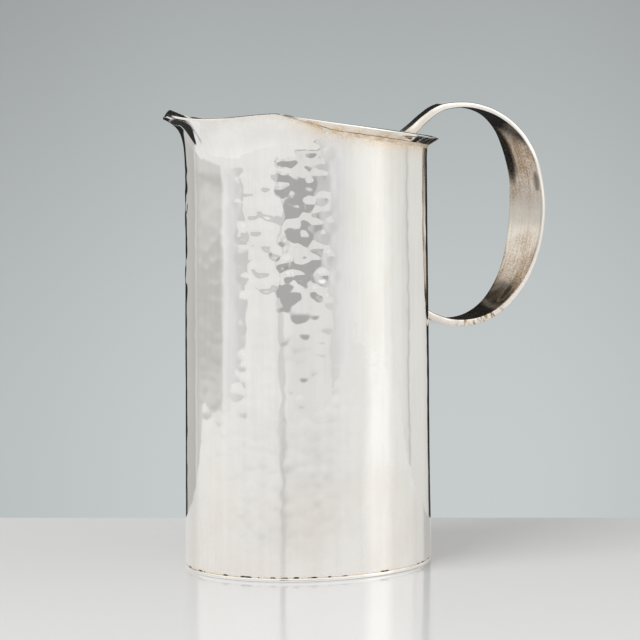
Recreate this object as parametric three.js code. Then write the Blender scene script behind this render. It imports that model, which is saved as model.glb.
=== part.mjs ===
// Hand-hammered silver jug, in millimetres, +Z up, the origin under the middle of the base.
// The spout points along -X, the handle along +X, and the jug is alike on both sides of the XZ plane.
import * as THREE from "three";
import { LoftGeometry } from "three/addons/geometries/LoftGeometry.js";

// Body: an oval tube of sheet that narrows and leans forward a little as it rises.
const BODY_LENGTH = 119.8;
const BODY_WIDTH = 99.3;
const LENGTH_TAPER = 2.9;
const WIDTH_TAPER = 2.4;
const MOUTH_SHIFT = -1.5;
const MOUTH_HEIGHT = 190;
const MOUTH_LENGTH = BODY_LENGTH - LENGTH_TAPER;
const MOUTH_WIDTH = BODY_WIDTH - WIDTH_TAPER;
const SHEET = 1.1;

// Base plate, flush with the wall, and the film of solder between the two.
const PLATE_THICK = 1.5;
const BASE_SEAM = 0.3;
const BASE_FILLET = 0.9;

// Edge of the mouth: highest at the two corners of the spout, lowest at the handle.
const RIM_PEAK = 204.3;
const RIM_SWEEP = 12.3;
const RIM_BACK = RIM_PEAK - RIM_SWEEP;
const RIM_CURVE = 1.32;

// Spout: two slightly bowed flanks run from the corners to a blunt tip.
const CORNER_FORWARD = 50.9;
const CORNER_SIDE = 37.8;
const TIP_FORWARD = 80.5;
const TIP_DROP = 0.7;
const TIP_HEIGHT = RIM_PEAK - TIP_DROP;
const TIP_BLUNT = 2.4;
const FLANK_DIP = 2.1;
const DIP_SKEW = 1.5;
const FLANK_BOW = 1;
const FLARE_HEIGHT = 32;
const FLARE_SOFTNESS = 5.8;

// Rim strip: a narrow collar soldered on the top edge of the wall, leaning outwards.
const STRIP_OUT = 5.2;
const STRIP_RISE = 3.2;
const STRIP_THICK = 1.1;
const STRIP_FADE = THREE.MathUtils.degToRad(28);
const STRIP_END = 0.06;
const RIM_FILLET = 0.9;

// Handle: a forged strap, bent to an oval loop, narrow and thick at its ends, broad and thin at the grip.
// A squareness of 2 makes the loop an ellipse, and more makes it fuller at its corners.
const LOOP_REACH = 78.2;
const LOOP_LENGTH = 88.1;
const LOOP_HEIGHT = 98.9;
const LOOP_RISE = 12.6;
const LOOP_SQUARENESS = 2.16;
const LOOP_TILT = THREE.MathUtils.degToRad(-5.5);
const LOOP_START = THREE.MathUtils.degToRad(114);
const LAP_WIDTH = 4.4;
const LAP_THICK = 4.9;
const SHOULDER_WIDTH = 6.2;
const SHOULDER_THICK = 2.8;
const CROWN_WIDTH = 21.2;
const CROWN_THICK = 2.6;
const GRIP_WIDTH = 23.2;
const GRIP_THICK = 2.6;
const HEEL_WIDTH = 12.9;
const HEEL_THICK = 3.4;
const FOOT_WIDTH = 9.4;
const FOOT_THICK = 3.3;
const STRAP_EDGE = 0.6;
const EDGE_LIMIT = 0.45;
const END_SHARE = 0.08;
const FOOT_FILLET = 1.5;
const LAP_FILLET = 1.4;
const LAP_FILLET_DEPTH = 0.9;

// Clearance between pieces that are soldered together.
const JOINT_GAP = 0.15;

// Fineness of the facets.
const AROUND = 112;
const TIP_PACKING = 0.62;
const FLARE_ROWS = 9;
const LOOP_POINTS = 16;
const LOOP_SAMPLES = 360;
const STRAP_STEPS = 60;
const FACE_POINTS = 4;
const LAP_STEPS = 4;
const ANGLE_STEP = 0.01;
const DROP_STEP = 0.2;
const SEARCH_PASSES = 40;
const SLIDE_PASSES = 8;

const TAU = Math.PI * 2;
const { lerp, clamp, smoothstep } = THREE.MathUtils;

// Angles round the oval from the handle, packed closer towards the tip of the spout.
function angleAt(step) {
  const turn = (TAU * step) / AROUND;
  return turn + TIP_PACKING * Math.sin(turn);
}

// Half length, half width and middle of the oval at a height.
function ovalAt(height) {
  const rise = height / MOUTH_HEIGHT;
  return {
    a: lerp(BODY_LENGTH, MOUTH_LENGTH, rise) / 2,
    b: lerp(BODY_WIDTH, MOUTH_WIDTH, rise) / 2,
    x: MOUTH_SHIFT * rise,
  };
}

function ovalPoint(angle, height, scale = 1) {
  const oval = ovalAt(height);
  return new THREE.Vector3(
    oval.x + scale * oval.a * Math.cos(angle),
    scale * oval.b * Math.sin(angle),
    height,
  );
}

// Level outward direction of the oval.
function ovalNormal(angle, height) {
  const oval = ovalAt(height);
  return new THREE.Vector3(Math.cos(angle) / oval.a, Math.sin(angle) / oval.b, 0).normalize();
}

// Where the spout's corners lie on the oval, and how far they stand out from it.
const mouth = ovalAt(RIM_PEAK);
const cornerAcross = CORNER_SIDE / mouth.b;
const cornerAlong = (-CORNER_FORWARD - mouth.x) / mouth.a;
const CORNER_ANGLE = Math.atan2(cornerAcross, cornerAlong);
const CORNER_SCALE = Math.hypot(cornerAcross, cornerAlong);

// Angle from the handle, the same on both sides.
function sideAngle(angle) {
  return Math.abs(Math.atan2(Math.sin(angle), Math.cos(angle)));
}

// 0 on the spout and at its corners, 1 where the rim strip has its full width.
function stripShare(angle) {
  return smoothstep(CORNER_ANGLE - sideAngle(angle), 0, STRIP_FADE);
}

// Lean of the rim strip, and the height that its full section takes.
const STRIP_SLOPE = Math.atan2(STRIP_RISE, STRIP_OUT);
const STRIP_HEIGHT = STRIP_RISE + STRIP_THICK * Math.cos(STRIP_SLOPE) + JOINT_GAP;

// Height of the mouth's edge, from its distance to the handle end or along a flank.
function rimHeight(angle) {
  const turn = sideAngle(angle);
  if (turn > CORNER_ANGLE) {
    const run = (turn - CORNER_ANGLE) / (Math.PI - CORNER_ANGLE);
    return lerp(RIM_PEAK, TIP_HEIGHT, run) - FLANK_DIP * Math.sin(Math.PI * run ** DIP_SKEW);
  }
  const back = mouth.x + mouth.a;
  const ahead = back - (mouth.x + mouth.a * Math.cos(turn));
  const full = back - (mouth.x + mouth.a * Math.cos(CORNER_ANGLE));
  return RIM_BACK + (RIM_PEAK - RIM_BACK) * (ahead / full) ** RIM_CURVE;
}

// Top edge of the wall: the mouth's edge on the spout, the seat of the rim strip elsewhere.
function wallTop(angle) {
  return rimHeight(angle) - stripShare(angle) * STRIP_HEIGHT;
}

// Plan of the wall's top edge.
function wallEdge(angle) {
  const top = wallTop(angle);
  const turn = sideAngle(angle);
  if (turn <= CORNER_ANGLE) {
    return ovalPoint(angle, top, 1 + (CORNER_SCALE - 1) * (1 - stripShare(angle)));
  }
  const left = (Math.PI - turn) / (Math.PI - CORNER_ANGLE);
  const depth = TIP_FORWARD - CORNER_FORWARD;
  const blunt = TIP_BLUNT / depth;
  const forward = Math.hypot(left, blunt) - blunt;
  const whole = Math.hypot(1, blunt) - blunt;
  const side = Math.sign(Math.sin(angle));
  const bow = (4 * left * (1 - left) * FLANK_BOW) / Math.hypot(CORNER_SIDE, depth);
  return new THREE.Vector3(
    -TIP_FORWARD + (depth * forward) / whole - CORNER_SIDE * bow,
    side * (CORNER_SIDE * left + depth * bow),
    top,
  );
}

// Outer face of the wall at a drop below its top edge.
function wallPoint(angle, drop) {
  const edge = wallEdge(angle);
  const height = edge.z - drop;
  const still = Math.exp(-FLARE_HEIGHT / FLARE_SOFTNESS);
  const fall = Math.exp(-drop / FLARE_SOFTNESS);
  const share = clamp((fall - still) / (1 - still), 0, 1);
  const plain = ovalPoint(angle, height);
  const start = ovalPoint(angle, edge.z);
  return plain.add(edge.sub(start).multiplyScalar(share));
}

// Outward direction of the wall, square to its face.
function wallNormal(angle, drop) {
  const along = wallPoint(angle + ANGLE_STEP, drop).sub(wallPoint(angle - ANGLE_STEP, drop));
  const upper = Math.max(drop - DROP_STEP, 0);
  const up = wallPoint(angle, upper).sub(wallPoint(angle, upper + 2 * DROP_STEP));
  return along.cross(up).normalize();
}

// Closed ring round the jug, one point for each angle.
function ring(pointAt) {
  const points = [];
  for (let step = 0; step < AROUND; step++) points.push(pointAt(angleAt(step)));
  return points;
}

const WALL_BOTTOM = PLATE_THICK + BASE_SEAM;
const drops = [];
for (let row = FLARE_ROWS; row >= 0; row--) drops.push(FLARE_HEIGHT * (row / FLARE_ROWS) ** 2);

function inside(angle, drop) {
  return wallPoint(angle, drop).addScaledVector(wallNormal(angle, drop), -SHEET);
}

function insideOval(angle, height) {
  return ovalPoint(angle, height).addScaledVector(ovalNormal(angle, height), -SHEET);
}

// Rings up the outside, over the edge and down the inside, back to the first one.
const foot = ring((angle) => ovalPoint(angle, WALL_BOTTOM));
const wallRings = [
  foot,
  ...drops.map((drop) => ring((angle) => wallPoint(angle, drop))),
  ...drops.toReversed().map((drop) => ring((angle) => inside(angle, drop))),
  ring((angle) => insideOval(angle, WALL_BOTTOM)),
  foot,
];
const wallShape = new LoftGeometry(wallRings);

// Base plate.
const plateOutline = new THREE.Shape(
  ring((angle) => ovalPoint(angle, 0)).map((point) => new THREE.Vector2(point.x, point.y)),
);
const plateShape = new THREE.ExtrudeGeometry(plateOutline, { depth: PLATE_THICK, bevelEnabled: false });

// Film of solder under the wall, with a fillet on the inside.
const filmFoot = ring((angle) => ovalPoint(angle, PLATE_THICK));
function filmPoint(angle, inset, rise) {
  const normal = ovalNormal(angle, WALL_BOTTOM);
  const point = ovalPoint(angle, WALL_BOTTOM).addScaledVector(normal, -inset);
  point.z = PLATE_THICK + rise;
  return point;
}
const filmShape = new LoftGeometry([
  filmFoot,
  ring((angle) => ovalPoint(angle, WALL_BOTTOM)),
  ring((angle) => filmPoint(angle, SHEET + JOINT_GAP, BASE_SEAM)),
  ring((angle) => filmPoint(angle, SHEET + JOINT_GAP, BASE_SEAM + BASE_FILLET)),
  ring((angle) => filmPoint(angle, SHEET + BASE_FILLET, 0)),
  filmFoot,
]);

// Angles of the stretch between the spout's corners where the strip has at least a share of its width.
function stripAngles(least) {
  const angles = [];
  for (let step = -AROUND / 2; step <= AROUND / 2; step++) {
    const angle = angleAt(step);
    if (Math.abs(angle) < CORNER_ANGLE && stripShare(angle) >= least) angles.push(angle);
  }
  return angles;
}

// Point of the rim strip's section: out from the wall's outer face and up from its seat.
function stripPoint(angle, out, up) {
  const share = stripShare(angle);
  const seat = wallEdge(angle);
  seat.addScaledVector(ovalNormal(angle, seat.z), out * share);
  seat.z += up * share + JOINT_GAP;
  return seat;
}

// Section of the strip: a mitred root on the wall's edge and a square-cut outer edge.
const stripBackX = -STRIP_THICK * Math.sin(STRIP_SLOPE);
const stripBackZ = STRIP_THICK * Math.cos(STRIP_SLOPE);
const rootRise = stripBackZ + (-SHEET - stripBackX) * Math.tan(STRIP_SLOPE);
function stripSection(angle) {
  const root = inside(angle, 0);
  root.z += JOINT_GAP;
  const shoulder = root.clone();
  shoulder.z += rootRise * stripShare(angle);
  return [
    root,
    shoulder,
    stripPoint(angle, STRIP_OUT + stripBackX, STRIP_RISE + stripBackZ),
    stripPoint(angle, STRIP_OUT, STRIP_RISE),
    stripPoint(angle, 0, 0),
  ];
}
const stripShape = new LoftGeometry(stripAngles(STRIP_END).map(stripSection), {
  capStart: true,
  capEnd: true,
});

// Fillet of solder in the crease under the strip.
function creaseSection(angle) {
  const share = stripShare(angle);
  const seat = wallEdge(angle);
  const normal = ovalNormal(angle, seat.z);
  const size = RIM_FILLET * share;
  const at = (out, up) => {
    const point = seat.clone().addScaledVector(normal, out + JOINT_GAP);
    point.z += up;
    return point;
  };
  const along = size * Math.cos(STRIP_SLOPE);
  const lift = size * Math.sin(STRIP_SLOPE);
  return [at(0, 0), at(along, lift), at(0, -size)];
}
const creaseShape = new LoftGeometry(stripAngles(2 * STRIP_END).map(creaseSection), {
  capStart: true,
  capEnd: true,
});

// Handle loop: the oval that the inner face of the strap follows, as offsets from its middle.
const seatBack = wallEdge(0);
function loopOffset(angle) {
  const run = Math.cos(angle);
  const rise = Math.sin(angle);
  const fullness = Math.abs(run) ** LOOP_SQUARENESS + Math.abs(rise) ** LOOP_SQUARENESS;
  const half = fullness ** (-1 / LOOP_SQUARENESS) / 2;
  const along = LOOP_LENGTH * half * run;
  const across = LOOP_HEIGHT * half * rise;
  return new THREE.Vector3(
    along * Math.cos(LOOP_TILT) - across * Math.sin(LOOP_TILT),
    0,
    along * Math.sin(LOOP_TILT) + across * Math.cos(LOOP_TILT),
  );
}
const loopTurns = Array.from({ length: LOOP_SAMPLES }, (_, step) => (TAU * step) / LOOP_SAMPLES);
const loopBounds = new THREE.Box3().setFromPoints(loopTurns.map(loopOffset));
const loopMiddle = new THREE.Vector3(
  seatBack.x + LOOP_REACH - loopBounds.max.x,
  0,
  RIM_BACK + LOOP_RISE - loopBounds.max.z,
);
function loopPoint(angle) {
  return loopOffset(angle).add(loopMiddle);
}

// Back of the wall at a height and a distance to the side.
function wallBack(side, height) {
  const oval = ovalAt(height);
  return oval.x + oval.a * Math.sqrt(1 - (side / oval.b) ** 2);
}

// Angle at which the loop comes back to the wall.
function landingAngle() {
  let clear = -Math.PI / 2;
  let past = -Math.PI;
  for (let pass = 0; pass < SEARCH_PASSES; pass++) {
    const middle = (clear + past) / 2;
    const point = loopPoint(middle);
    if (point.x > wallBack(0, point.z) + JOINT_GAP) clear = middle;
    else past = middle;
  }
  return clear;
}

// Route of the strap's inner face: along the rim strip's upper face, then round the loop to the wall.
const lapLift = JOINT_GAP / Math.cos(STRIP_SLOPE);
const lapStart = stripPoint(0, -SHEET, rootRise + lapLift);
const lapEnd = stripPoint(0, STRIP_OUT + stripBackX, STRIP_RISE + stripBackZ + lapLift);
const loopEnd = landingAngle();
const route = [lapStart, lapEnd];
for (let step = 0; step <= LOOP_POINTS; step++) {
  route.push(loopPoint(lerp(LOOP_START, loopEnd, step / LOOP_POINTS)));
}
const strapRoute = new THREE.CatmullRomCurve3(route);

// Width and thickness along the strap, through the named places.
const PLACES = [0, 0.18, 0.42, 0.52, 0.86, 1];
const WIDTHS = [LAP_WIDTH, SHOULDER_WIDTH, CROWN_WIDTH, GRIP_WIDTH, HEEL_WIDTH, FOOT_WIDTH];
const THICKS = [LAP_THICK, SHOULDER_THICK, CROWN_THICK, GRIP_THICK, HEEL_THICK, FOOT_THICK];
function between(values, place) {
  let span = 0;
  while (span < PLACES.length - 2 && place > PLACES[span + 1]) span++;
  return lerp(values[span], values[span + 1], smoothstep(place, PLACES[span], PLACES[span + 1]));
}

// Section of the strap, a flat bar with rounded edges: its points and the direction in which each faces.
function strapSection(place) {
  const middle = strapRoute.getPointAt(place);
  const forward = strapRoute.getTangentAt(place);
  const outward = new THREE.Vector3(-forward.z, 0, forward.x);
  const across = between(WIDTHS, place) / 2;
  const thick = between(THICKS, place);
  const edge = Math.min(STRAP_EDGE, thick * EDGE_LIMIT, across * EDGE_LIMIT);
  const points = [];
  const facing = [];
  function add(side, rise, angle) {
    const point = middle.clone().addScaledVector(outward, rise);
    point.y = side;
    points.push(point);
    const face = outward.clone().multiplyScalar(Math.sin(angle));
    face.y = Math.cos(angle);
    facing.push(face);
  }
  for (const outer of [1, -1]) {
    const flat = outer * (across - edge);
    const level = outer > 0 ? thick - edge : edge;
    const first = outer > 0 ? 0 : Math.PI;
    for (let turn = 0; turn < 2; turn++) {
      const angle = first + (turn * Math.PI) / 4;
      add(flat + edge * Math.cos(angle), level + edge * Math.sin(angle), angle);
    }
    for (let step = 0; step <= FACE_POINTS; step++) {
      add(lerp(flat, -flat, step / FACE_POINTS), level + outer * edge, first + Math.PI / 2);
    }
    const angle = first + (3 * Math.PI) / 4;
    add(-flat + edge * Math.cos(angle), level + edge * Math.sin(angle), angle);
  }
  return { points, facing, forward };
}

// Distance along a direction from a point to a stop.
function slideTo(point, direction, stopAt) {
  const moved = point.clone();
  for (let pass = 0; pass < SLIDE_PASSES; pass++) {
    moved.addScaledVector(direction, (stopAt(moved) - moved.x) / direction.x);
  }
  return moved.sub(point).dot(direction);
}

// The ends are cut square to the jug's length: level with the inside of the mouth, and against the wall.
const atMouth = () => lapStart.x;
const atBack = (point) => wallBack(0, point.z) + JOINT_GAP;
const atWall = (point) => wallBack(point.y, point.z) + JOINT_GAP;
const strapLap = strapSection(0);
const strapFoot = strapSection(1);
const lapSlides = strapLap.points.map((point) => slideTo(point, strapLap.forward, atMouth));
const footSlides = strapFoot.points.map((point) => slideTo(point, strapFoot.forward, atBack));
function cutSection(place) {
  const section = strapSection(place);
  const lapShare = clamp(1 - place / END_SHARE, 0, 1);
  const footShare = clamp(1 - (1 - place) / END_SHARE, 0, 1);
  section.points.forEach((point, at) => {
    point.addScaledVector(section.forward, lapSlides[at] * lapShare + footSlides[at] * footShare);
  });
  return section;
}
const strapSections = [];
for (let step = 0; step <= STRAP_STEPS; step++) {
  strapSections.push(cutSection(step / STRAP_STEPS).points);
}
const strapShape = new LoftGeometry(strapSections, { capStart: true, capEnd: true });

// Fillet of solder round the strap's foot on the wall.
const footEnd = cutSection(1);
const footStart = cutSection(1 - FOOT_FILLET / strapRoute.getLength());
const footSections = footEnd.points.map((point, at) => {
  const near = point.clone().addScaledVector(footEnd.facing[at], JOINT_GAP);
  const far = near.clone().addScaledVector(footEnd.facing[at], FOOT_FILLET);
  far.addScaledVector(footEnd.forward, slideTo(far, footEnd.forward, atWall));
  near.addScaledVector(footEnd.forward, slideTo(near, footEnd.forward, atWall));
  return [near, far, footStart.points[at].clone().addScaledVector(footStart.facing[at], JOINT_GAP)];
});
footSections.push(footSections[0]);
const footShape = new LoftGeometry(footSections);

// Fillet of solder under the strap, against the edge of the rim strip.
const lapSlope = lapEnd.clone().sub(lapStart).normalize();
const lapSections = [];
for (let step = 0; step <= LAP_STEPS; step++) {
  const side = lerp(-LAP_WIDTH / 2, LAP_WIDTH / 2, step / LAP_STEPS);
  const setBack = wallBack(0, RIM_BACK) - wallBack(side, RIM_BACK);
  const corner = lapEnd.clone().addScaledVector(lapSlope, JOINT_GAP);
  corner.x += 2 * JOINT_GAP * Math.sin(STRIP_SLOPE) - setBack;
  corner.y = side;
  corner.z -= 2 * JOINT_GAP * Math.cos(STRIP_SLOPE);
  const under = corner.clone().addScaledVector(lapSlope, LAP_FILLET);
  const below = corner.clone();
  below.x += LAP_FILLET_DEPTH * Math.sin(STRIP_SLOPE);
  below.z -= LAP_FILLET_DEPTH * Math.cos(STRIP_SLOPE);
  lapSections.push([corner, under, below]);
}
const lapShape = new LoftGeometry(lapSections, { capStart: true, capEnd: true });

const silver = { color: 0xd8d3c9, roughness: 0.16, metalness: 1 };
const solder = { color: 0xa8977c, roughness: 0.42, metalness: 1 };

function piece(name, shape, look) {
  const mesh = new THREE.Mesh(shape, new THREE.MeshStandardMaterial(look));
  mesh.name = name;
  return mesh;
}

const jug = new THREE.Group();
jug.name = "jug";
jug.add(
  piece("body_wall", wallShape, silver),
  piece("base_plate", plateShape, silver),
  piece("base_solder", filmShape, solder),
  piece("rim_strip", stripShape, silver),
  piece("rim_solder", creaseShape, solder),
);
const handle = new THREE.Group();
handle.name = "handle";
handle.add(
  piece("handle_strap", strapShape, silver),
  piece("handle_lap_solder", lapShape, solder),
  piece("handle_foot_solder", footShape, solder),
);
jug.add(handle);

export default jug;
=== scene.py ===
import itertools
import math
import bmesh
import bpy
import numpy as np
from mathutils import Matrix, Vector


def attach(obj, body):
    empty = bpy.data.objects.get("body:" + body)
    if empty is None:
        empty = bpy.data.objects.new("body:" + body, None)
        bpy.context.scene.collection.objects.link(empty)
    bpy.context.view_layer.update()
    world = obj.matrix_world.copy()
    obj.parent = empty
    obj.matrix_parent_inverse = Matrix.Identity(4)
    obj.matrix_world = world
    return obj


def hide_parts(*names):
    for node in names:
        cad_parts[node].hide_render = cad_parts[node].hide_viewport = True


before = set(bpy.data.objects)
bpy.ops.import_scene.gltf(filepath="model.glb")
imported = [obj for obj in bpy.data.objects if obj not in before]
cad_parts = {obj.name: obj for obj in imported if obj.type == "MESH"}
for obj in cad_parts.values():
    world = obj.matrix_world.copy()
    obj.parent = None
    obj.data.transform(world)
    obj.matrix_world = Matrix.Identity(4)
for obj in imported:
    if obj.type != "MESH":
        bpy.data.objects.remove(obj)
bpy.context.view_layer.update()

# Looks of a hand-hammered silver jug. Lengths are in millimetres until a mesh is made, which is in metres.
MM = 0.001
SEED = 41

# Sizes of the solids, which the pieces here follow.
BODY_LENGTH, BODY_WIDTH = 119.8, 99.3
LENGTH_TAPER, WIDTH_TAPER = 2.9, 2.4
MOUTH_SHIFT, MOUTH_HEIGHT = -1.5, 190.0
SHEET = 1.1
PLATE_THICK, BASE_SEAM, BASE_FILLET = 1.5, 0.3, 0.9
RIM_PEAK, RIM_SWEEP, RIM_CURVE = 204.3, 12.3, 1.32
RIM_BACK = RIM_PEAK - RIM_SWEEP
CORNER_FORWARD, CORNER_SIDE = 50.9, 37.8
TIP_FORWARD, TIP_DROP, TIP_BLUNT = 80.5, 0.7, 2.4
TIP_HEIGHT = RIM_PEAK - TIP_DROP
FLANK_DIP, DIP_SKEW, FLANK_BOW = 2.1, 1.5, 1.0
FLARE_HEIGHT, FLARE_SOFTNESS = 32.0, 5.8
STRIP_OUT, STRIP_RISE, STRIP_THICK = 5.2, 3.2, 1.1
STRIP_FADE = math.radians(28)
STRIP_END = 0.015
RIM_FILLET = 0.9
LOOP_REACH, LOOP_LENGTH, LOOP_HEIGHT, LOOP_RISE, LOOP_SQUARENESS = 78.2, 88.1, 98.9, 12.6, 2.16
LOOP_TILT, LOOP_START = math.radians(-5.5), math.radians(114)
LOOP_POINTS, LOOP_SAMPLES = 16, 360
STRAP_PLACES = [0, 0.18, 0.42, 0.52, 0.86, 1]
STRAP_WIDTHS = [4.4, 6.2, 21.2, 23.2, 12.9, 9.4]
STRAP_THICKS = [4.9, 2.8, 2.6, 2.6, 3.4, 3.3]
STRAP_EDGE = 0.6
END_SHARE = 0.08
FOOT_FILLET, LAP_FILLET, LAP_FILLET_DEPTH = 1.5, 1.4, 0.9
JOINT_GAP = 0.15
WALL_BOTTOM = PLATE_THICK + BASE_SEAM


def lerp(a, b, share):
    return a + (b - a) * share


def ease(value, low, high):
    """0 below a range, 1 above it and a smooth rise over it."""
    t = np.clip((value - low) / (high - low), 0, 1)
    return t * t * (3 - 2 * t)


def fade(value, low, high):
    return 1 - ease(value, low, high)


def within(value, start, end):
    """1 between two ranges, and 0 before and after them."""
    return ease(value, *start) * fade(value, *end)


def unit(v):
    return v / np.linalg.norm(v, axis=-1, keepdims=True)


def points(x, y, z):
    return np.stack(np.broadcast_arrays(np.asarray(x, float), y, z), -1)


def lengths_along(route):
    return np.concatenate([[0], np.cumsum(np.linalg.norm(np.diff(route, axis=0), axis=1))])


# Wall

def oval(height):
    """Half length, half width and middle of the body's oval at a height."""
    rise = height / MOUTH_HEIGHT
    return (BODY_LENGTH - LENGTH_TAPER * rise) / 2, (BODY_WIDTH - WIDTH_TAPER * rise) / 2, MOUTH_SHIFT * rise


def oval_point(angle, height, scale=1.0):
    a, b, x = oval(height)
    return points(x + scale * a * np.cos(angle), scale * b * np.sin(angle), height)


def oval_normal(angle, height):
    a, b, _ = oval(height)
    return unit(points(np.cos(angle) / a, np.sin(angle) / b, 0))


mouth_a, mouth_b, mouth_x = oval(RIM_PEAK)
corner_across, corner_along = CORNER_SIDE / mouth_b, (-CORNER_FORWARD - mouth_x) / mouth_a
CORNER_ANGLE = math.atan2(corner_across, corner_along)
CORNER_SCALE = math.hypot(corner_across, corner_along)
STRIP_SLOPE = math.atan2(STRIP_RISE, STRIP_OUT)
SLOPE_SIN, SLOPE_COS = math.sin(STRIP_SLOPE), math.cos(STRIP_SLOPE)
STRIP_HEIGHT = STRIP_RISE + STRIP_THICK * SLOPE_COS + JOINT_GAP


def side_angle(angle):
    return np.abs(np.arctan2(np.sin(angle), np.cos(angle)))


def strip_share(angle):
    return ease(CORNER_ANGLE - side_angle(angle), 0, STRIP_FADE)


def wall_top(angle):
    turn = side_angle(angle)
    run = np.clip((turn - CORNER_ANGLE) / (math.pi - CORNER_ANGLE), 0, 1)
    flank = lerp(RIM_PEAK, TIP_HEIGHT, run) - FLANK_DIP * np.sin(math.pi * run ** DIP_SKEW)
    ahead = np.clip((1 - np.cos(turn)) / (1 - math.cos(CORNER_ANGLE)), 0, 1)
    back = RIM_BACK + RIM_SWEEP * ahead ** RIM_CURVE
    return np.where(turn > CORNER_ANGLE, flank, back) - strip_share(angle) * STRIP_HEIGHT


def wall_edge(angle):
    top, turn = wall_top(angle), side_angle(angle)
    back = oval_point(angle, top, 1 + (CORNER_SCALE - 1) * (1 - strip_share(angle)))
    left = np.clip((math.pi - turn) / (math.pi - CORNER_ANGLE), 0, 1)
    depth = TIP_FORWARD - CORNER_FORWARD
    blunt = TIP_BLUNT / depth
    forward = (np.hypot(left, blunt) - blunt) / (math.hypot(1, blunt) - blunt)
    bow = 4 * left * (1 - left) * FLANK_BOW / math.hypot(CORNER_SIDE, depth)
    flank = points(
        -TIP_FORWARD + depth * forward - CORNER_SIDE * bow,
        np.sign(np.sin(angle)) * (CORNER_SIDE * left + depth * bow),
        top,
    )
    return np.where((turn > CORNER_ANGLE)[..., None], flank, back)


def wall_point(angle, drop):
    """Outer face of the wall at a drop below its top edge."""
    edge = wall_edge(angle)
    still = math.exp(-FLARE_HEIGHT / FLARE_SOFTNESS)
    share = np.clip((np.exp(-drop / FLARE_SOFTNESS) - still) / (1 - still), 0, 1)
    start = oval_point(angle, edge[..., 2])
    return oval_point(angle, edge[..., 2] - drop) + (edge - start) * share[..., None]


def wall_normal(angle, drop, turn_step=0.01, drop_step=0.2):
    along = wall_point(angle + turn_step, drop) - wall_point(angle - turn_step, drop)
    upper = np.maximum(drop - drop_step, 0)
    up = wall_point(angle, upper) - wall_point(angle, upper + 2 * drop_step)
    return unit(np.cross(along, up))


# Hammer marks: shallow round dents in a seeded, jittered lattice, over a flat sheet of a length and a height.
CELL = 0.5
JITTER = 0.45
ROW_SPACING = 0.87
SHALLOWEST = 0.35
LAST_CELL = 1.001


def soften(field, reach, wrap):
    """Gaussian smoothing along both ways of a grid, closed along the first way where wrap is set."""
    half = int(math.ceil(3 * reach))
    weights = np.exp(-0.5 * (np.arange(-half, half + 1) / reach) ** 2)
    weights /= weights.sum()
    for mode in ("wrap" if wrap else "edge", "edge"):
        padded = np.pad(field, ((half, half), (0, 0)), mode=mode)
        field = sum(w * padded[i:i + len(field)] for i, w in enumerate(weights)).T
    return field


def hammered(length, height, pitch, depth, seed, wrap=True, ridge=0.55, skew=0.0, spread=(0.62, 1.15)):
    """Sampler of the marks' depth at places along and up a sheet; skew moves their bottoms up or down."""
    rng = np.random.default_rng(seed)
    across, up = int(round(length / CELL)), int(round(height / CELL)) + 1
    field = np.zeros((across, up))
    rows = int(height / (pitch * ROW_SPACING)) + 2
    columns = max(int(round(length / pitch)), 1)
    for row in range(rows):
        for column in range(columns):
            s = (column + 0.5 * (row % 2) + rng.uniform(-JITTER, JITTER)) * length / columns
            z = (row + rng.uniform(-JITTER, JITTER)) * pitch * ROW_SPACING
            radius = pitch * rng.uniform(*spread)
            deep = depth * rng.uniform(SHALLOWEST, 1.0)
            reach = int(radius / CELL) + 1
            i0, j0 = int(s / CELL), int(z / CELL)
            i = np.arange(i0 - reach, i0 + reach + 1)
            j = np.arange(max(j0 - reach, 0), min(j0 + reach + 1, up))
            if not wrap:
                i = i[(i >= 0) & (i < across)]
            lift = (j * CELL - z) / radius - skew
            lift = lift / np.where(lift > 0, 1 - skew, 1 + skew)
            far = ((i * CELL - s) / radius)[:, None] ** 2 + lift[None, :] ** 2
            at = np.ix_(i % across, j)
            field[at] = np.maximum(field[at], deep * (1 - far))
    field = soften(field, ridge / CELL, wrap)

    def sample(s, z):
        v = np.clip(z / CELL, 0, up - LAST_CELL)
        u = s / CELL % across if wrap else np.clip(s / CELL, 0, across - LAST_CELL)
        i, j = np.floor(u).astype(int), np.floor(v).astype(int)
        fu, fv = u - i, v - j
        i, k = i % across, (i + 1) % across
        low = field[i, j] * (1 - fu) + field[k, j] * fu
        high = field[i, j + 1] * (1 - fu) + field[k, j + 1] * fu
        return low * (1 - fv) + high * fv

    return sample


def swells(seed, count, length, longest, shortest):
    """Slow unevenness of hand-worked sheet, between 0 and 1, closed along its length."""
    rng = np.random.default_rng(seed)
    waves = []
    for _ in range(count):
        turns = rng.integers(max(1, int(length / longest)), int(length / shortest) + 1)
        rise = rng.uniform(-1, 1) / shortest
        waves.append((2 * math.pi * turns / length, 2 * math.pi * rise, rng.uniform(0, 2 * math.pi)))

    def sample(s, z):
        return 0.5 + 0.5 * sum(np.cos(k * s + m * z + p) for k, m, p in waves) / len(waves)

    return sample


# Meshes

def add_object(name, data):
    thing = bpy.data.objects.new(name, data)
    bpy.context.scene.collection.objects.link(thing)
    return thing


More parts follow.
